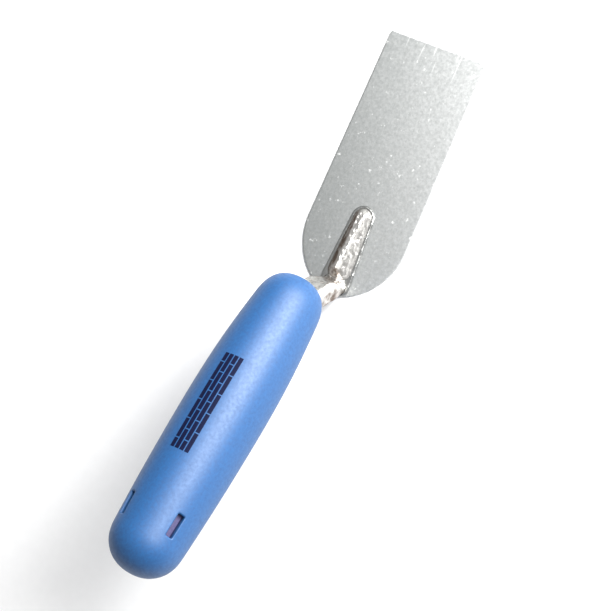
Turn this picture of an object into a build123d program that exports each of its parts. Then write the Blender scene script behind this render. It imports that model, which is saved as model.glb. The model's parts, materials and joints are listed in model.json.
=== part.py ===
from build123d import *
import os
from math import cos, radians, sin, sqrt, tan

# Margin trowel: a flat steel blade with a rounded heel, a forged shank that is welded to it,
# and a blue handle of two mouldings round the shank's tang.
#
# Frame, in millimetres: the origin is the centre of the blade's flat underside, +X points to the
# square front edge, +Z points up to the handle's side, and Y = 0 is the plane of symmetry.

# ---------------------------------------------------------------- driving dimensions
blade_length = 124.0  # heel to front edge
blade_width = 50.8  # at the heel end of the straight sides, 2 in
front_width = 49.2  # the sides close in slightly towards the front edge
blade_thickness = 1.2
heel_side_radius = 32.0  # the two big arcs of the heel
heel_nose_radius = 16.0  # the arc that joins them at the very back
heel_arc_sample = 50.0  # degrees round a side arc, where it is pinned by a third point
corner_radius = 0.6  # front corners
blade_edge_break = 0.25

handle_tilt = 19.7  # degrees between the handle's axis and the blade
nose_setback = 0.6  # from the heel's end back to the centre of the handle's nose
nose_height = 41.5  # from the blade's underside up to the centre of the handle's nose
handle_length = 145.0
nose_face_radius = 5.4
nose_length = 14.0  # length of the rounded nose
nose_bulge_share = (0.28, 0.78)  # where its curve bulges, as shares of its length and radius
nose_radius = 15.3  # where the nose meets the long barrel
swell_station = 44.0  # a third of the way along, where the barrel is nearly full
swell_radius = 17.6
belly_station = 80.0  # the thickest place
belly_radius = 17.9
butt_length = 15.0  # length of the rounded butt
butt_radius = 16.15
butt_bulge_share = (0.30, 0.73)
swell_slope = 1.3  # slope at the nose's end, over the mean slope up to the swell
belly_slope = 1.6  # slope at the butt, over the mean slope down from the belly
bulge_inset = (0.8, 0.6)  # how far the inset moves a bulge along and across the handle
nose_lean = 0.2  # how far the nose's flat face leans into its curve
skin_thickness = 2.6  # the blue moulding over the core

window_station = 121.6  # centre of the four windows, along the handle
window_length = 10.2
window_width = 3.4
window_corner = 0.6
window_cutter_length = 10.0  # from outside the grip down past the core's surface
window_count = 4
window_first_angle = 45.0  # degrees round the handle from straight up

key_stations = (36.0, 62.0, 88.0)  # ring grooves in the core that hold the moulding
key_width = 6.0
key_floor_radius = 13.9  # from the handle's axis to the grooves' floor

foot_tip_radius = 5.0
foot_tip_setback = 38.1  # from the heel's end forward to the foot's front rounding
foot_heel_radius = 6.3
foot_heel_setback = 12.4
foot_tip_height = 4.2
foot_heel_height = 7.8
foot_draft = 37.0  # slope of the foot's sides from upright, degrees
foot_edge_round = 0.4
cutter_clearance = 1.0  # how far a cutter reaches past the surface it cuts
weld_leg = 0.9
weld_face = 0.7  # the bevel off the bead's outer corner

tang_start = 21.0  # along the handle, where the gooseneck becomes the straight tang
tang_root_radius = 4.9
tang_root_corner = 4.6
tang_overlap = 1.0  # how far the tang reaches back into the gooseneck
tang_tip_radius = 3.4
tang_length = 96.0  # from the nose to the tang's end
tang_end_taper = 4.0
tang_end_radius = 1.2
tang_notch_stations = (50.0, 60.0, 70.0, 80.0)
tang_notch_width = 3.0
tang_notch_depth = 0.8

# The gooseneck's sections, upwards: forward of the heel's end, height over the blade's top face,
# degrees of its path above level, half width, half thickness, corner radius.
neck_sections = (
    (7.0, -1.6, 108.0, 6.9, 4.9, 3.4),
    (1.9, 8.0, 113.0, 6.6, 4.1, 3.0),
    (-0.8, 16.5, 113.5, 7.1, 5.3, 3.1),
    (-4.2, 24.5, 113.0, 6.9, 5.4, 3.3),
    (-7.8, 32.5, 113.0, 6.2, 5.2, 3.8),
    (-11.4, 40.0, 117.0, 5.3, 4.9, 4.3),
    (-14.9, 45.2, 138.0, 5.0, 4.9, 4.5),
)

# ---------------------------------------------------------------- shared planes and axes
heel_x = -blade_length / 2
tip_x = blade_length / 2
blade_top = Plane.XY.offset(blade_thickness)
nose = Vector(heel_x - nose_setback, 0, nose_height)
axis_direction = Vector(-cos(radians(handle_tilt)), 0, sin(radians(handle_tilt)))
handle_axis = Axis(nose, axis_direction)
# In the profile plane x runs along the handle from its nose, and y is the radius.
profile_plane = Plane(origin=nose, x_dir=axis_direction, z_dir=(0, 1, 0))


def handle_section(inset):
    """Half the handle's long section, from its axis outwards, with the skin inset taken off."""
    rise = swell_slope * (swell_radius - nose_radius) / (swell_station - nose_length)
    butt_start = handle_length - butt_length
    fall = belly_slope * (belly_radius - butt_radius) / (butt_start - belly_station)
    inset_along = bulge_inset[0] * inset
    inset_across = bulge_inset[1] * inset
    nose_end = (inset, nose_face_radius)
    shoulder = (nose_length, nose_radius - inset)
    swell = (swell_station, swell_radius - inset)
    belly = (belly_station, belly_radius - inset)
    hip = (butt_start, butt_radius - inset)
    butt_end = (handle_length - inset, 0)
    nose_bulge = (
        nose_bulge_share[0] * nose_length + inset_along,
        nose_bulge_share[1] * nose_radius - inset_across,
    )
    butt_bulge = (
        handle_length - butt_bulge_share[0] * butt_length - inset_along,
        butt_bulge_share[1] * butt_radius - inset_across,
    )
    with BuildSketch(profile_plane) as section:
        with BuildLine():
            Spline(nose_end, nose_bulge, shoulder, tangents=[(nose_lean, 1), (1, rise)])
            Spline(shoulder, swell, belly, hip, tangents=[(1, rise), (1, -fall)])
            Spline(hip, butt_bulge, butt_end, tangents=[(1, -fall), (0, -1)])
            Polyline(butt_end, (inset, 0), nose_end)
        make_face()
    return section.sketch


def foot_plan(growth, with_neck):
    """The foot's plan grown outwards, with or without the gooseneck's base behind it."""
    base_forward, base_height, base_climb, half_width, half_thickness, corner = neck_sections[0]
    lean = radians(base_climb - 90)
    neck_base_x = heel_x + base_forward + base_height * tan(lean)
    with BuildSketch(blade_top) as plan:
        with Locations((heel_x + foot_tip_setback, 0)):
            Circle(foot_tip_radius + growth)
        with Locations((heel_x + foot_heel_setback, 0)):
            Circle(foot_heel_radius + growth)
        if with_neck:
            depth = 2 * (half_thickness / cos(lean) + growth)
            with Locations((neck_base_x, 0)):
                RectangleRounded(depth, 2 * (half_width + growth), corner + growth)
        make_hull()
    return plan.sketch


# ---------------------------------------------------------------- blade
# The heel is two big arcs, tangent to the sides, joined by a smaller one at the back.
arc_inset = heel_side_radius - blade_width / 2
centre_gap = heel_side_radius - heel_nose_radius
heel_arc_x = heel_x + heel_nose_radius
side_arc_x = heel_arc_x + sqrt(centre_gap**2 - arc_inset**2)
join_x = side_arc_x - (side_arc_x - heel_arc_x) * heel_side_radius / centre_gap
join_y = arc_inset * heel_side_radius / centre_gap - arc_inset
bow_x = side_arc_x - heel_side_radius * sin(radians(heel_arc_sample))
bow_y = heel_side_radius * cos(radians(heel_arc_sample)) - arc_inset

with BuildPart() as blade:
    with BuildSketch():
        with BuildLine():
            Line((tip_x, -front_width / 2), (tip_x, front_width / 2))
            Line((tip_x, front_width / 2), (side_arc_x, blade_width / 2))
            ThreePointArc((side_arc_x, blade_width / 2), (bow_x, bow_y), (join_x, join_y))
            ThreePointArc((join_x, join_y), (heel_x, 0), (join_x, -join_y))
            ThreePointArc((join_x, -join_y), (bow_x, -bow_y), (side_arc_x, -blade_width / 2))
            Line((side_arc_x, -blade_width / 2), (tip_x, -front_width / 2))
        make_face()
        fillet(vertices().group_by(Axis.X)[-1], corner_radius)
    extrude(amount=blade_thickness)
    chamfer(faces().filter_by(Axis.Z).edges(), blade_edge_break)
blade.part.label = "blade"

# ---------------------------------------------------------------- shank
# One forging: a tapering foot on the blade, a gooseneck that leans back as it climbs into the
# handle's nose, and a straight tang along the handle's axis.
crest_run = foot_tip_setback - foot_heel_setback
crest_rise = foot_heel_height - foot_tip_height
crest_plane = Plane(
    origin=(heel_x + foot_tip_setback, 0, blade_thickness + foot_tip_height),
    x_dir=(crest_run, 0, -crest_rise),
    z_dir=(crest_rise, 0, crest_run),
)

with BuildPart() as foot:
    add(foot_plan(0, with_neck=False))
    extrude(amount=foot_heel_height + cutter_clearance, taper=foot_draft)
    split(bisect_by=crest_plane, keep=Keep.BOTTOM)
    fillet(faces().sort_by(Axis.Z)[-1].edges(), foot_edge_round)

with BuildPart() as gooseneck:
    for forward, height, climb, half_width, half_thickness, corner in neck_sections:
        across_path = Plane(
            origin=(heel_x + forward, 0, blade_thickness + height),
            x_dir=(0, 1, 0),
            z_dir=(cos(radians(climb)), 0, sin(radians(climb))),
        )
        with BuildSketch(across_path):
            RectangleRounded(2 * half_width, 2 * half_thickness, corner)
    across_tang = Plane(
        origin=nose + axis_direction * tang_start, x_dir=(0, 1, 0), z_dir=axis_direction
    )
    with BuildSketch(across_tang):
        RectangleRounded(2 * tang_root_radius, 2 * tang_root_radius, tang_root_corner)
    loft()
    split(bisect_by=blade_top, keep=Keep.TOP)

with BuildPart() as tang:
    with BuildSketch(profile_plane):
        with BuildLine():
            Polyline(
                (tang_start - tang_overlap, 0),
                (tang_start - tang_overlap, tang_root_radius),
                (tang_length - tang_end_taper, tang_tip_radius),
                (tang_length, tang_end_radius),
                (tang_length, 0),
                close=True,
            )
        make_face()
        for station in tang_notch_stations:
            share = (station - tang_start) / (tang_length - tang_start)
            surface = tang_root_radius + (tang_tip_radius - tang_root_radius) * share
            with Locations((station, surface)):
                Rectangle(tang_notch_width, 2 * tang_notch_depth, mode=Mode.SUBTRACT)
    revolve(axis=handle_axis)

with BuildPart() as shank:
    add(foot.part)
    add(gooseneck.part)
    add(tang.part)
shank.part.label = "shank"

# ---------------------------------------------------------------- weld bead
with BuildPart() as weld_bead:
    add(foot_plan(weld_leg, with_neck=True))
    extrude(amount=weld_leg)
    chamfer(faces().sort_by(Axis.Z)[-1].edges(), weld_face)
    add(shank.part, mode=Mode.SUBTRACT)
weld_bead.part.label = "weld_bead"

# ---------------------------------------------------------------- handle core
with BuildPart() as handle_core:
    add(handle_section(skin_thickness))
    revolve(axis=handle_axis)
    with BuildSketch(profile_plane):
        for station in key_stations:
            with Locations((station, (belly_radius + key_floor_radius) / 2)):
                Rectangle(key_width, belly_radius - key_floor_radius)
    revolve(axis=handle_axis, mode=Mode.SUBTRACT)
    add(shank.part, mode=Mode.SUBTRACT)
handle_core.part.label = "handle_core"

# ---------------------------------------------------------------- handle grip
with BuildPart() as handle_grip:
    add(handle_section(0))
    revolve(axis=handle_axis)
    # the windows go down to the core and show its surface
    for number in range(window_count):
        turn = radians(window_first_angle + 360 / window_count * number)
        outward = profile_plane.y_dir * cos(turn) + Vector(0, 1, 0) * sin(turn)
        over_window = Plane(
            origin=nose + axis_direction * window_station + outward * (belly_radius + cutter_clearance),
            x_dir=axis_direction,
            z_dir=outward,
        )
        with BuildSketch(over_window):
            RectangleRounded(window_length, window_width, window_corner)
        extrude(amount=-window_cutter_length, mode=Mode.SUBTRACT)
    add(handle_core.part, mode=Mode.SUBTRACT)
    add(shank.part, mode=Mode.SUBTRACT)
handle_grip.part.label = "handle_grip"

os.makedirs("parts", exist_ok=True)
for piece in (blade, shank, weld_bead, handle_core, handle_grip):
    export_step(piece.part, f"parts/{piece.part.label}.step")
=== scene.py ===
"""The looks of the margin trowel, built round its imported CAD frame."""
import json
import math

import bmesh
import bpy
import numpy as np
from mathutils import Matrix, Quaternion, Vector, noise


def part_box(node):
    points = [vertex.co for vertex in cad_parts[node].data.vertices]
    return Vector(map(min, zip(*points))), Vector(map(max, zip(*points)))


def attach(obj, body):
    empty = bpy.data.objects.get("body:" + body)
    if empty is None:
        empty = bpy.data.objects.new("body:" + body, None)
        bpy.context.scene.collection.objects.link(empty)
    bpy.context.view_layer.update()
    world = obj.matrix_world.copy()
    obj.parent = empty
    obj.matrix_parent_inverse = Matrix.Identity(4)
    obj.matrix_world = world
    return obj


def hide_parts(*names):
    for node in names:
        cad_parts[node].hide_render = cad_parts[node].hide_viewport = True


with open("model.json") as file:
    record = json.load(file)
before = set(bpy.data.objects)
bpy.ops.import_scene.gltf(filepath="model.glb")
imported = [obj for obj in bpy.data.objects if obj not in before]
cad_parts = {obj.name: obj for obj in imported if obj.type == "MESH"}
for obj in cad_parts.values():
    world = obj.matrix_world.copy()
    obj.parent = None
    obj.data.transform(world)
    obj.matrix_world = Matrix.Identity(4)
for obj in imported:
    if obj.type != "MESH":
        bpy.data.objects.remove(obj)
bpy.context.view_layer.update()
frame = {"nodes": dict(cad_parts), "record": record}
MM = 0.001

# ---------------------------------------------------------------- places read from the frame
blade_low, blade_high = (np.array(corner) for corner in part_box("blade"))
heel_x, tip_x, blade_top = blade_low[0], blade_high[0], blade_high[2]
mounts = {mount["name"]: mount for mount in frame["record"]["mounts"]}
grip_point = np.array(mounts["hand_grip"]["pos_m"])
axis = np.array(mounts["hand_grip"]["axis"])
axis = axis / np.linalg.norm(axis)  # along the handle, from its nose to its butt
side = np.array([0.0, 1.0, 0.0])
crown = np.cross(axis, side)  # square to the axis, on the handle's upper side
crown = crown * np.sign(crown[2])


def node_points(name):
    """The vertices of a CAD node, as an array of points."""
    mesh = frame["nodes"][name].data
    points = np.empty(3 * len(mesh.vertices))
    mesh.vertices.foreach_get("co", points)
    matrix = np.array(frame["nodes"][name].matrix_world)
    return points.reshape(-1, 3) @ matrix[:3, :3].T + matrix[:3, 3]


grip_stations = (node_points("handle_grip") - grip_point) @ axis
nose = grip_point + axis * grip_stations.min()
handle_length = np.ptp(grip_stations)


def upper_hull(flat_points):
    """The upper side of the convex outline round some flat points, from left to right."""
    hull = []
    for point in np.unique(np.round(flat_points, 7), axis=0):
        while len(hull) > 1:
            last, before = hull[-1] - hull[-2], point - hull[-2]
            if last[0] * before[1] - last[1] * before[0] < 0:
                break
            hull.pop()
        hull.append(point)
    return np.array(hull)


def even_steps(line, count, blur):
    """A line of points taken again at even steps and evened out over a few of them."""
    reach = np.concatenate([[0], np.cumsum(np.linalg.norm(np.diff(line, axis=0), axis=1))])
    places = np.linspace(0, reach[-1], count)
    even = np.stack([np.interp(places, reach, line[:, k]) for k in range(2)], axis=1)
    for _ in range(blur):
        even[1:-1] = (even[:-2] + 2 * even[1:-1] + even[2:]) / 4
    return even


def handle_profile(name, count, blur):
    """A handle node's long section: stations from the nose and radii, from end to end."""
    away = node_points(name) - nose
    along = away @ axis
    radii = np.linalg.norm(away - np.outer(along, axis), axis=1)
    hull = upper_hull(np.stack([along, radii], axis=1))
    ends = [[hull[0][0], 0.0]], [[hull[-1][0], 0.0]]
    return even_steps(np.concatenate([ends[0], hull, ends[1]]), count, blur)


# ---------------------------------------------------------------- small builders
def finish_mesh(made, material, smooth_angle=40.0):
    """Outward normals, smooth shading and the material."""
    tidy = bmesh.new()
    tidy.from_mesh(made.data)
    bmesh.ops.recalc_face_normals(tidy, faces=tidy.faces)
    tidy.to_mesh(made.data)
    tidy.free()
    made.data.shade_smooth()
    made.data.set_sharp_from_angle(angle=math.radians(smooth_angle))
    made.data.materials.clear()
    made.data.materials.append(material)


def new_object(name, points, faces, material, smooth_angle=40.0):
    """A mesh object of its own, from points and faces."""
    mesh = bpy.data.meshes.new(name)
    mesh.from_pydata([tuple(point) for point in points], [], faces)
    made = bpy.data.objects.new(name, mesh)
    bpy.context.scene.collection.objects.link(made)
    finish_mesh(made, material, smooth_angle)
    return made


def copy_of_node(name, new_name):
    """A new object with a copy of a CAD node's mesh."""
    mesh = frame["nodes"][name].data.copy()
    mesh.transform(frame["nodes"][name].matrix_world)
    made = bpy.data.objects.new(new_name, mesh)
    bpy.context.scene.collection.objects.link(made)
    return made


def apply_modifiers(made):
    """Turns an object's modifiers into its mesh."""
    graph = bpy.context.evaluated_depsgraph_get()
    mesh = bpy.data.meshes.new_from_object(made.evaluated_get(graph))
    made.modifiers.clear()
    made.data = mesh


def voxel_remesh(made, voxel, smoothing):
    """Gives an object an even skin of small faces."""
    remesh = made.modifiers.new("remesh", "REMESH")
    remesh.mode = "VOXEL"
    remesh.voxel_size = voxel
    if smoothing:
        smooth = made.modifiers.new("smooth", "SMOOTH")
        smooth.iterations = smoothing
    apply_modifiers(made)


def cut_away(made, cutter):
    """Takes a closed object out of another, and removes it."""
    cut = made.modifiers.new("cut", "BOOLEAN")
    cut.operation = "DIFFERENCE"
    cut.solver = "EXACT"
    cut.object = cutter
    apply_modifiers(made)
    bpy.data.objects.remove(cutter)


def smooth_step(low, high, value):
    """0 below low, 1 above high, and an even blend between."""
    share = np.clip((value - low) / (high - low), 0.0, 1.0)
    return share * share * (3.0 - 2.0 * share)


def grid_faces(rows, columns, closed):
    """Four-sided faces between the points of a grid, whose rows may be closed rings."""
    faces = []
    for row in range(rows - 1):
        for column in range(columns if closed else columns - 1):
            beside = (column + 1) % columns
            here, above = row * columns, (row + 1) * columns
            faces.append((here + column, here + beside, above + beside, above + column))
    return faces


# ---------------------------------------------------------------- materials
def new_material(name, roughness, metallic=0.0):
    """A node material, with one function that adds a node and one that joins two sockets."""
    material = bpy.data.materials.new(name)
    material.use_nodes = True
    tree = material.node_tree
    shader = tree.nodes["Principled BSDF"]
    shader.inputs["Roughness"].default_value = roughness
    shader.inputs["Metallic"].default_value = metallic

    def add(kind, settings=(), **values):
        node = tree.nodes.new(kind)
        for key, value in dict(settings).items():
            setattr(node, key, value)
        for key, value in values.items():
            node.inputs[key].default_value = value
        return node

    return material, shader, add, tree.links.new


def colour_ramp(add, stops):
    """A colour ramp through (place, colour) stops."""
    node = add("ShaderNodeValToRGB")
    while len(node.color_ramp.elements) < len(stops):
        node.color_ramp.elements.new(0.5)
    for element, (place, colour) in zip(node.color_ramp.elements, stops):
        element.position = place
        element.color = (*colour, 1.0)
    return node


def add_noise(add, join, scale, detail=4.0, rough=0.55, stretch=(1.0, 1.0, 1.0)):
    """Noise in the object's own space, so many to the metre."""
    place = add("ShaderNodeTexCoord")
    spread = add("ShaderNodeMapping")
    spread.inputs["Scale"].default_value = stretch
    texture = add("ShaderNodeTexNoise", Scale=scale, Detail=detail, Roughness=rough)
    join(place.outputs["Object"], spread.inputs["Vector"])
    join(spread.outputs["Vector"], texture.inputs["Vector"])
    return texture


def add_bump(add, join, height, shader, distance, strength=1.0, under=None):
    """Bump of a depth in metres, on top of another bump if there is one."""
    bump = add("ShaderNodeBump", Distance=distance, Strength=strength)
    join(height, bump.inputs["Height"])
    if under is not None:
        join(under.outputs["Normal"], bump.inputs["Normal"])
    join(bump.outputs["Normal"], shader.inputs["Normal"])
    return bump


def mix_colours(add, join, share, first, second):
    """A blend of two colour sockets by a share."""
    mix = add("ShaderNodeMix", {"data_type": "RGBA"})
    join(share, mix.inputs["Factor"])
    for socket, source in (("A", first), ("B", second)):
        place = [entry for entry in mix.inputs if entry.name == socket and entry.type == "RGBA"][0]
        if isinstance(source, tuple):
            place.default_value = (*source, 1.0)
        else:
            join(source, place)
    return [entry for entry in mix.outputs if entry.type == "RGBA"][0]


def map_range(add, join, value, low, high):
    """A share from 0 to 1 of the way from low to high."""
    node = add("ShaderNodeMapRange")
    node.inputs["From Min"].default_value = low
    node.inputs["From Max"].default_value = high
    join(value, node.inputs["Value"])
    return node.outputs["Result"]


def place_along(add, join, direction):
    """How far a point of the object lies along a direction."""
    place = add("ShaderNodeTexCoord")
    dot = add("ShaderNodeVectorMath", {"operation": "DOT_PRODUCT"})
    dot.inputs[1].default_value = direction
    join(place.outputs["Object"], dot.inputs[0])
    return dot.outputs["Value"]


def blade_material():
    """Matte rolled steel, mottled and specked, scratched in front, and with painted light: brighter on its
    right.
    """
    material, shader, add, join = new_material("blade_steel", roughness=0.5, metallic=1.0)
    painted_light_reach = 34.0 * MM  # each side of the middle, over which the painted light comes on
    # painted light: across the blade the colour goes from a darker copy of the steel to a lighter copy,
    # brighter toward its right, where the light falls
    across = place_along(add, join, (0.15, -1.0, 0.0))
    painted_light_side = map_range(add, join, across, -painted_light_reach, painted_light_reach)
    mottle = add_noise(add, join, scale=620.0, detail=6.0, rough=0.72)
    colour = colour_ramp(add, [(0.32, (0.31, 0.325, 0.32)),
                               (0.5, (0.39, 0.405, 0.40)),
                               (0.68, (0.50, 0.515, 0.51))])
    join(mottle.outputs["Fac"], colour.inputs["Fac"])
    # the lighter, lit copy of the steel colour, for the painted light on the blade's right
    bright = colour_ramp(add, [(0.32, (0.42, 0.43, 0.425)),
                               (0.5, (0.54, 0.55, 0.545)),
                               (0.68, (0.69, 0.70, 0.695))])
    join(mottle.outputs["Fac"], bright.inputs["Fac"])
    painted_light_colour = mix_colours(add, join, painted_light_side, colour.outputs["Color"], bright.outputs["Color"])
    spots = add_noise(add, join, scale=420.0, detail=2.0, rough=0.5)
    speck = map_range(add, join, spots.outputs["Fac"], low=0.67, high=0.74)
    pale = mix_colours(add, join, speck, painted_light_colour, (0.80, 0.81, 0.80))
    streaks = add_noise(add, join, scale=460.0, detail=4.0, rough=0.6, stretch=(0.06, 1.0, 1.0))
    streak = map_range(add, join, streaks.outputs["Fac"], low=0.62, high=0.71)
    scratches_start = float(tip_x) - 15 * MM  # they thicken from here to where they are full
    scratches_full = float(tip_x) - 6 * MM
    along = place_along(add, join, (1.0, 0.0, 0.0))
    front = map_range(add, join, along, scratches_start, scratches_full)
    scratched = add("ShaderNodeMath", {"operation": "MULTIPLY"})
    join(streak, scratched.inputs[0])
    join(front, scratched.inputs[1])
    final = mix_colours(add, join, scratched.outputs["Value"], pale, (0.86, 0.87, 0.86))
    join(final, shader.inputs["Base Color"])

    dull = colour_ramp(add, [(0.3, (0.60, 0.60, 0.60)), (0.7, (0.46, 0.46, 0.46))])
    join(mottle.outputs["Fac"], dull.inputs["Fac"])
    join(dull.outputs["Color"], shader.inputs["Roughness"])
    scratch = add_noise(add, join, scale=700.0, detail=2.0, rough=0.6, stretch=(0.05, 1.0, 1.0))
    under = add_bump(add, join, mottle.outputs["Fac"], shader, distance=0.08 * MM, strength=0.6)
    add_bump(add, join, scratch.outputs["Fac"], shader, distance=0.03 * MM, strength=0.4, under=under)
    return material


def forged_material(name, bright, dark):
    """Forged steel: bright on the crests that its tools rubbed, brown scale in the hollows, and painted light:
    lighter on faces turned toward the key, darker on the flanks turned from it.
    """
    material, shader, add, join = new_material(name, roughness=0.35, metallic=1.0)
    stain_share = 0.6  # how much the stain counts beside the rubbing and painted light
    # the attribute holds rubbed crests and painted light: faces turned toward the key are painted brighter,
    # the flanks turned from it darker
    wear = add("ShaderNodeAttribute", {"attribute_name": "wear"})
    stain = add_noise(add, join, scale=620.0, detail=6.0, rough=0.7)
    both = add("ShaderNodeMath", {"operation": "MULTIPLY_ADD"})
    both.inputs[1].default_value = stain_share
    join(stain.outputs["Fac"], both.inputs[0])
    join(wear.outputs["Fac"], both.inputs[2])
    between = tuple(0.5 * (a + b) for a, b in zip(bright, dark))
    colour = colour_ramp(add, [(0.38, dark), (0.66, between), (0.92, bright)])
    join(both.outputs["Value"], colour.inputs["Fac"])
    join(colour.outputs["Color"], shader.inputs["Base Color"])
    dull = colour_ramp(add, [(0.4, (0.6, 0.6, 0.6)), (0.85, (0.28, 0.28, 0.28))])
    join(both.outputs["Value"], dull.inputs["Fac"])
    join(dull.outputs["Color"], shader.inputs["Roughness"])
    pits = add_noise(add, join, scale=1500.0, detail=4.0, rough=0.6)
    add_bump(add, join, pits.outputs["Fac"], shader, distance=0.12 * MM, strength=0.6)
    return material


def grip_material():
    """Satin moulded plastic: a spark texture that mottles both the blue and its sheen."""
    material, shader, add, join = new_material("grip_plastic", roughness=0.5)
    shader.inputs["Specular IOR Level"].default_value = 1.0
    shader.inputs["IOR"].default_value = 1.49
    mottle = add_noise(add, join, scale=750.0, detail=5.0, rough=0.7)
    colour = colour_ramp(add, [(0.32, (0.001, 0.065, 0.212)), (0.68, (0.002, 0.094, 0.290))])
    join(mottle.outputs["Fac"], colour.inputs["Fac"])
    join(colour.outputs["Color"], shader.inputs["Base Color"])
    dull = colour_ramp(add, [(0.32, (0.60, 0.60, 0.60)), (0.68, (0.49, 0.49, 0.49))])
    join(mottle.outputs["Fac"], dull.inputs["Fac"])
    join(dull.outputs["Color"], shader.inputs["Roughness"])
    grain = add_noise(add, join, scale=2600.0, detail=2.0, rough=0.5)
    under = add_bump(add, join, grain.outputs["Fac"], shader, distance=0.02 * MM, strength=0.5)
    add_bump(add, join, mottle.outputs["Fac"], shader, distance=0.04 * MM, strength=0.5, under=under)
    return material


def plain_grain(name, colours, roughness, scale, gloss=0.5):
    """A matte moulding or print with a little grain in its colour and surface."""
    material, shader, add, join = new_material(name, roughness)
    shader.inputs["Specular IOR Level"].default_value = gloss
    grain = add_noise(add, join, scale, detail=3.0, rough=0.6)
    colour = colour_ramp(add, [(0.3, colours[0]), (0.7, colours[1])])
    join(grain.outputs["Fac"], colour.inputs["Fac"])
    join(colour.outputs["Color"], shader.inputs["Base Color"])
    add_bump(add, join, grain.outputs["Fac"], shader, distance=0.02 * MM, strength=0.5)
    return material


blade_steel = blade_material()
forged_steel = forged_material("forged_steel", bright=(0.79, 0.77, 0.74), dark=(0.16, 0.12, 0.095))
weld_steel = forged_material("weld_steel", bright=(0.50, 0.51, 0.50), dark=(0.25, 0.24, 0.23))
grip_plastic = grip_material()
core_plastic = plain_grain("core_plastic", ((0.065, 0.060, 0.145), (0.095, 0.085, 0.19)),
                           roughness=0.6, scale=900.0)
print_ink = plain_grain("print_ink", ((0.0, 0.002, 0.022), (0.001, 0.004, 0.034)),
                        roughness=0.62, scale=700.0, gloss=0.2)

# ---------------------------------------------------------------- handle grip
window_station = 121.6 * MM  # of the windows' middles, from the nose, as in the CAD grip
window_length = 10.2 * MM
window_width = 3.4 * MM
window_corner = 0.6 * MM
window_lip = 0.35 * MM  # rounding of a window's rim
window_lip_steps = 5
window_lip_sweep = 80.0  # degrees that the rim's rounding turns through
window_count = 4
window_depth = 4.0 * MM  # past the grip's skin, and as far out again
seam_height = 0.05 * MM  # the mould's parting line, down both flanks
seam_width = 0.25 * MM
seam_radius = 17.0 * MM  # about the handle's radius, to turn an angle into a width
seam_fade = 6.0 * MM  # it dies out this far from the handle's ends
seam_reach = 0.024  # radians each side of it that hold extra points
seam_columns = 9


def handle_points(stations, turns, radii):
    """Points round the handle: station from the nose, turn from the crown, and radius."""
    outward = np.outer(np.cos(turns), crown) + np.outer(np.sin(turns), side)
    return nose + np.outer(stations, axis) + outward * np.asarray(radii)[:, None]


def lathe(profile, turns, bulge=None):
    """A closed body of revolution about the handle's axis, with a pole at each end."""
    rings = profile[1:-1]
    count = len(turns)
    points = [handle_points(profile[:1, 0], np.zeros(1), np.zeros(1))]
    for station, radius in rings:
        radii = radius + (0.0 if bulge is None else bulge(station, turns))
        points.append(handle_points(np.full(count, station), turns, radii * np.ones(count)))
    points.append(handle_points(profile[-1:, 0], np.zeros(1), np.zeros(1)))
    faces = [tuple(1 + index for index in face) for face in grid_faces(len(rings), count, True)]
    last = len(rings) * count + 1
    for column in range(count):
        beside = (column + 1) % count
        faces.append((0, 1 + beside, 1 + column))
        faces.append((last, last - count + column, last - count + beside))
    return np.concatenate(points), faces


def rounded_rectangle(length, width, corner, steps=6):
    """Points round a rectangle with rounded corners, centred on the origin."""
    points = []
    for quarter, (sx, sy) in enumerate(((1, 1), (-1, 1), (-1, -1), (1, -1))):
        for step in range(steps + 1):
            angle = math.radians(90 * (quarter + step / steps))
            points.append((sx * (length / 2 - corner) + corner * math.cos(angle),
                           sy * (width / 2 - corner) + corner * math.sin(angle)))
    return np.array(points)


def window_cutter(turn, outer):
    """A closed plug the shape of one window, whose rim flares out to round the edge."""
    surface = np.interp(window_station, outer[:, 0], outer[:, 1])
    levels = [(-window_depth, 0.0), (-window_lip, 0.0)]
    for step in range(1, window_lip_steps + 1):
        angle = math.radians(window_lip_sweep * step / window_lip_steps)
        levels.append((-window_lip + window_lip * math.sin(angle), window_lip * (1 - math.cos(angle))))
    levels.append((window_depth, levels[-1][1] + window_lip))
    points = []
    for height, growth in levels:
        ring = rounded_rectangle(window_length + 2 * growth, window_width + 2 * growth, window_corner + growth)
        stations = window_station + ring[:, 0]
        radii = np.interp(stations, outer[:, 0], outer[:, 1]) + height
        points.append(handle_points(stations, turn + ring[:, 1] / surface, radii))
    columns = len(ring)
    faces = grid_faces(len(levels), columns, True)
    faces.append(tuple(range(columns)))
    faces.append(tuple(range((len(levels) - 1) * columns, len(levels) * columns)))
    return new_object("window_cutter", np.concatenate(points), faces, grip_plastic)


def seam(station, turns):
    """The parting line's height round the handle."""
    off = np.abs(np.abs(turns) - math.pi / 2) * seam_radius
    fade = smooth_step(0.0, seam_fade, station) * smooth_step(0.0, seam_fade, handle_length - station)
    return fade * seam_height * np.exp(-((off / seam_width) ** 2))


grip_outer = handle_profile("handle_grip", count=260, blur=6)
grip_inner = handle_profile("handle_core", count=120, blur=3)
even_turns = np.linspace(-math.pi, math.pi, 240, endpoint=False)
seam_turns = np.array([flank * math.pi / 2 + off for flank in (-1, 1)
                       for off in np.linspace(-seam_reach, seam_reach, seam_columns)])
grip_turns = np.unique(np.round(np.concatenate([even_turns, seam_turns]), 6))
outer_points, outer_faces = lathe(grip_outer, grip_turns, seam)
inner_points, inner_faces = lathe(grip_inner, even_turns[::2])
inner_faces = [tuple(len(outer_points) + index for index in reversed(face)) for face in inner_faces]
grip = bpy.data.objects.new("grip_moulding", bpy.data.meshes.new("grip_moulding"))
bpy.context.scene.collection.objects.link(grip)
grip.data.from_pydata([tuple(point) for point in np.concatenate([outer_points, inner_points])], [],
                      outer_faces + inner_faces)
for number in range(window_count):
    turn = math.pi / 4 + 2 * math.pi * number / window_count
    cut_away(grip, window_cutter(turn, grip_outer))
cut_away(grip, copy_of_node("shank", "neck_cutter"))
finish_mesh(grip, grip_plastic, smooth_angle=50.0)
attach(grip, "root")
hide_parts("handle_grip")

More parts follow.
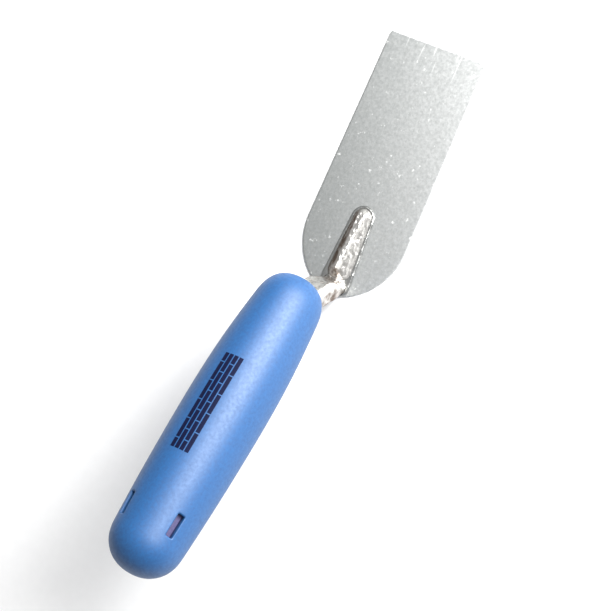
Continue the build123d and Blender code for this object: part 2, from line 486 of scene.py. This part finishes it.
# ---------------------------------------------------------------- printed brick courses
print_start = 48.0 * MM  # station of the print's front end
print_length = 46.0 * MM
print_turn = math.radians(7.0)  # of its middle, from the crown
course_count = 4
brick_length = 8.8 * MM
brick_width = 1.9 * MM
brick_joint = 0.5 * MM
ink_height = 0.04 * MM
ink_depth = 0.25 * MM
patch_steps = 10


def brick_patch(low, high, middle):
    """A thin block of ink that follows the handle, from one station to another."""
    surface = np.interp((low + high) / 2, grip_outer[:, 0], grip_outer[:, 1])
    stations = np.linspace(low, high, patch_steps)
    turns = print_turn + (middle + np.linspace(-brick_width / 2, brick_width / 2, patch_steps)) / surface
    spread_s, spread_t = (spread.ravel() for spread in np.meshgrid(stations, turns, indexing="ij"))
    radii = np.interp(spread_s, grip_outer[:, 0], grip_outer[:, 1])
    top = handle_points(spread_s, spread_t, radii + ink_height)
    under = handle_points(spread_s, spread_t, radii - ink_depth)
    count = patch_steps * patch_steps
    faces = grid_faces(patch_steps, patch_steps, False)
    faces += [tuple(count + index for index in reversed(face)) for face in faces]
    grid = np.arange(count).reshape(patch_steps, patch_steps)
    rim = list(grid[0]) + list(grid[1:, -1]) + list(grid[-1, -2::-1]) + list(grid[-2:0:-1, 0])
    for first, second in zip(rim, rim[1:] + rim[:1]):
        faces.append((int(first), int(second), int(second) + count, int(first) + count))
    return np.concatenate([top, under]), faces


print_points, print_faces = [], []
for course in range(course_count):
    place = print_start - (course % 2) * (brick_length + brick_joint) / 2
    middle = (course - (course_count - 1) / 2) * (brick_width + brick_joint)
    while place < print_start + print_length - brick_joint:
        low = max(place, print_start)
        high = min(place + brick_length, print_start + print_length)
        patch, faces = brick_patch(low, high, middle)
        offset = sum(len(points) for points in print_points)
        print_points.append(patch)
        print_faces += [tuple(offset + index for index in face) for face in faces]
        place += brick_length + brick_joint
bricks = new_object("brick_print", np.concatenate(print_points), print_faces, print_ink,
                    smooth_angle=60.0)
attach(bricks, "root")

# ---------------------------------------------------------------- shank
handle_entry = 2.5 * MM  # the lumps fade out this far from the handle
neck_hole = 5.0 * MM  # about the radius of the hole in the nose where the gooseneck goes in
# (height in millimetres, size across, how many times longer than wide) of the forging's marks
big_lumps = (0.34, 2.6 * MM, 2.4)
small_lumps = (0.20, 1.2 * MM, 1.5)
hammer_flats = (0.22, 4.6 * MM, 1.7)
forged_lift = 0.05  # millimetres, which makes up for what the flats take away
painted_light_way = np.array([0.42, -0.46, 0.78])  # the way that the faces painted brightest look, about toward the key: painted light


def at_noise(points, size, offset=0.0):
    """Soft noise from -1 to 1, whose lumps are about a size across."""
    return np.array([noise.noise(Vector(point) / size + Vector((offset, 0, 0))) for point in points])


def facets(points, size):
    """Soft hammer flats: 0 on the ridges between them and 1 at their middles."""
    nearest = np.array([noise.voronoi(Vector(point) / size)[0][0] for point in points])
    return 1.0 - np.clip(nearest / 0.6, 0.0, 1.0) ** 2


def displaced(made, height, wear):
    """Moves an object's vertices along their normals, and stores for each one the value that the given
    function gives, which on the shank holds painted light as well as rubbing.
    """
    mesh = made.data
    count = len(mesh.vertices)
    points, normals = np.empty(3 * count), np.empty(3 * count)
    mesh.vertices.foreach_get("co", points)
    mesh.vertex_normals.foreach_get("vector", normals)
    points, normals = points.reshape(-1, 3), normals.reshape(-1, 3)
    lift = height(points)
    mesh.vertices.foreach_set("co", (points + normals * lift[:, None]).ravel())
    layer = mesh.attributes.new("wear", "FLOAT", "POINT")
    layer.data.foreach_set("value", wear(normals, lift))
    mesh.update()


def outside_handle(points):
    """1 out in the open, and 0 in the handle and near where the gooseneck goes in."""
    away = points - nose
    along = away @ axis
    radii = np.linalg.norm(away - np.outer(along, axis), axis=1)
    skin = np.interp(along, grip_outer[:, 0], grip_outer[:, 1], left=0.0)
    clear = np.where(along < 0, np.hypot(along, np.maximum(radii - neck_hole, 0)), radii - skin)
    return smooth_step(0.3 * MM, handle_entry, clear)


def along_shank(points, stretch):
    """Points squeezed along the shank's length, for lumps that are longer than they are wide."""
    return points * np.array([1.0 / stretch, 1.0, 1.0 / stretch])


def forged_height(points):
    """Drawn-out lumps and a few hammer flats, dying out on the blade and in the handle."""
    fade = outside_handle(points) * smooth_step(0.2 * MM, 1.8 * MM, points[:, 2] - blade_top)
    height, size, stretch = big_lumps
    lumps = height * at_noise(along_shank(points, stretch), size)
    height, size, stretch = small_lumps
    lumps += height * at_noise(along_shank(points, stretch), size, offset=5.0)
    height, size, stretch = hammer_flats
    flats = -height * facets(along_shank(points, stretch), size)
    return fade * (lumps + flats + forged_lift) * MM


def forged_wear_and_painted_light(normals, lift):
    """Bright where the metal stands proud and brown scale in the hollows; painted light as well: brighter
    where it faces the key's way, darker down the flanks turned from it.
    """
    proud = smooth_step(-0.34 * MM, 0.16 * MM, lift)
    # painted light: the faces turned toward the key are painted brighter, the flanks turned from it darker
    painted_light_facing = smooth_step(0.30, 0.90, normals @ painted_light_way)
    return np.clip(0.36 * proud + 0.6 * painted_light_facing, 0, 1)


shank = copy_of_node("shank", "forged_shank")
voxel_remesh(shank, voxel=0.3 * MM, smoothing=3)
displaced(shank, forged_height, forged_wear_and_painted_light)
finish_mesh(shank, forged_steel, smooth_angle=70.0)
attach(shank, "root")
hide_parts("shank")

# ---------------------------------------------------------------- weld bead
def bead_height(points):
    """An uneven bead, ground flush in places: no two of its lumps are alike."""
    fade = smooth_step(0.0, 0.25 * MM, points[:, 2] - blade_top)
    lumps = 0.11 * at_noise(points, 3.2 * MM, offset=9.0) + 0.05 * at_noise(points, 1.1 * MM, offset=2.0)
    return fade * (lumps - 0.05) * MM


def bead_wear(_, lift):
    """A little brighter on the bead's lumps, whichever way they face."""
    return np.clip(0.45 + 0.4 * smooth_step(-0.1 * MM, 0.12 * MM, lift), 0, 1)


bead = copy_of_node("weld_bead", "weld_fillet")
voxel_remesh(bead, voxel=0.14 * MM, smoothing=12)
displaced(bead, bead_height, bead_wear)
finish_mesh(bead, weld_steel, smooth_angle=70.0)
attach(bead, "root")
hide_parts("weld_bead")

# ---------------------------------------------------------------- blade
# (place across the front edge, depth, half width) of the nicks that work has left there
front_nicks = ((-23.6, 0.5, 0.5), (-22.2, 0.9, 0.45), (-20.4, 0.4, 0.4), (-15.0, 0.35, 0.5),
               (-8.3, 0.25, 0.4), (-3.1, 0.4, 0.35), (2.2, 0.2, 0.4), (11.0, 0.25, 0.6), (19.5, 0.2, 0.5))
nick_reach = 1.2 * MM  # how far a nick's hollow runs back from the front edge
edge_break = 0.25 * MM
edge_share = 0.3  # of the edge's break, where its rounding has a point of its own
wave_height = 0.012 * MM
wave_size = 14 * MM
ripple_size = 5 * MM
across_count = 90
along_count = 220


def blade_rows():
    """Half widths of the blade at places along it, from the heel to the front edge."""
    points = node_points("blade")
    hull = upper_hull(np.stack([points[:, 0], np.abs(points[:, 1])], axis=1))
    if hull[0][1] > 0:
        hull = np.concatenate([[[heel_x, 0.0]], hull])
    front = hull[-1]
    hull = hull[hull[:, 1] > 0.5 * MM]
    return even_steps(np.concatenate([[[heel_x, 0.0]], hull, [front]]), along_count, 2)


def plate_layer(rows, inset, level, wave):
    """One skin of the plate, drawn in by an inset from its outline."""
    across = np.linspace(-1, 1, across_count)
    centre = (heel_x + tip_x) / 2
    half = (tip_x - heel_x) / 2
    points = []
    for x, half_width in rows:
        near = max(half_width - inset, 0.0)
        place = centre + (x - centre) * (half - inset) / half
        for share in across:
            y = share * near
            nicked = 0.0
            for middle, depth, spread in front_nicks:
                nicked += depth * math.exp(-(((y / MM - middle) / spread) ** 2))
            tail = math.exp((x - tip_x) / nick_reach)
            points.append((place - nicked * MM * tail, y, level + wave(place, y)))
    return points


def top_wave(x, y):
    """The slight unevenness of a used plate, always at or under its full thickness."""
    soft = noise.noise(Vector((x, y, 0.0)) / wave_size)
    soft += 0.4 * noise.noise(Vector((x, y, 0.1)) / ripple_size)
    return -wave_height * (1 + soft)


def bottom_wave(x, y):
    """The same for the underside, at or over its lowest level."""
    return wave_height * (1 + noise.noise(Vector((x, y, 0.3)) / wave_size))


def no_wave(x, y):
    """The plate's edge is even."""
    return 0.0


rows = blade_rows()
layers = [plate_layer(rows, edge_break, blade_top, top_wave),
          plate_layer(rows, edge_share * edge_break, blade_top - edge_share * edge_break, no_wave),
          plate_layer(rows, 0.0, blade_top - edge_break, no_wave),
          plate_layer(rows, 0.0, edge_break, no_wave),
          plate_layer(rows, edge_share * edge_break, edge_share * edge_break, no_wave),
          plate_layer(rows, edge_break, 0.0, bottom_wave)]
grid = np.arange(along_count * across_count).reshape(along_count, across_count)
rim = list(grid[:, -1]) + list(grid[-1, -2::-1]) + list(grid[-2::-1, 0])
plate_points = list(layers[0]) + list(layers[-1])
skin = len(layers[0])
plate_faces = grid_faces(along_count, across_count, False)
plate_faces += [tuple(skin + index for index in reversed(face)) for face in plate_faces]
rings = [[int(index) for index in rim]]
for layer in layers[1:-1]:
    rings.append(list(range(len(plate_points), len(plate_points) + len(rim))))
    plate_points += [layer[index] for index in rim]
rings.append([skin + int(index) for index in rim])
for upper, lower in zip(rings, rings[1:]):
    for first in range(len(rim) - 1):
        plate_faces.append((upper[first], upper[first + 1], lower[first + 1], lower[first]))
plate = new_object("blade_plate", plate_points, plate_faces, blade_steel, smooth_angle=30.0)
weld = bmesh.new()
weld.from_mesh(plate.data)
bmesh.ops.remove_doubles(weld, verts=weld.verts, dist=0.0005 * MM)
weld.to_mesh(plate.data)
weld.free()
finish_mesh(plate, blade_steel, smooth_angle=30.0)
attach(plate, "root")
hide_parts("blade")

core = frame["nodes"]["handle_core"]
for slot in range(len(core.data.materials)):
    core.data.materials[slot] = core_plastic

# ---------------------------------------------------------------- floor, light and camera
view_target = Vector((-72.2, 4.2, 20.0)) * MM
view_distance = 696.1 * MM
view_elevation = math.radians(70.18)
view_azimuth = math.radians(-0.25)
view_roll = math.radians(66.44)
view_lens = 91.4
world_strength = 0.38

bpy.ops.mesh.primitive_plane_add(size=6.0)
floor = bpy.context.object
floor.name = "floor"
floor_paper = plain_grain("floor_paper", ((0.87, 0.87, 0.87), (0.89, 0.89, 0.89)), roughness=0.9, scale=200.0)
floor.data.materials.append(floor_paper)

world = bpy.data.worlds.new("studio")
bpy.context.scene.world = world
world.use_nodes = True
world.node_tree.nodes["Background"].inputs["Color"].default_value = (1.0, 1.0, 1.0, 1.0)
world.node_tree.nodes["Background"].inputs["Strength"].default_value = world_strength

look = Vector((math.cos(view_elevation) * math.sin(view_azimuth),
               math.cos(view_elevation) * math.cos(view_azimuth), -math.sin(view_elevation)))
camera_data = bpy.data.cameras.new("camera")
camera_data.lens = view_lens
camera = bpy.data.objects.new("camera", camera_data)
bpy.context.scene.collection.objects.link(camera)
camera.location = view_target - look * view_distance
camera.rotation_mode = "QUATERNION"
camera.rotation_quaternion = look.to_track_quat("-Z", "Y") @ Quaternion((0, 0, 1), -view_roll)
bpy.context.scene.camera = camera


def softbox(name, direction, distance, size, power):
    """A square area light, aimed at the middle of the view."""
    light = bpy.data.lights.new(name, "AREA")
    light.shape = "SQUARE"
    light.size = size
    light.energy = power
    lamp = bpy.data.objects.new(name, light)
    bpy.context.scene.collection.objects.link(lamp)
    toward = Vector(direction).normalized()
    lamp.location = view_target + toward * distance
    lamp.rotation_mode = "QUATERNION"
    lamp.rotation_quaternion = (-toward).to_track_quat("-Z", "Y")


softbox("key", (0.56, -0.52, 0.64), distance=1.2, size=0.7, power=31.0)
softbox("front", (0.75, -0.10, 0.80), distance=0.42, size=0.22, power=0.8)
bpy.context.scene.view_settings.view_transform = "Standard"
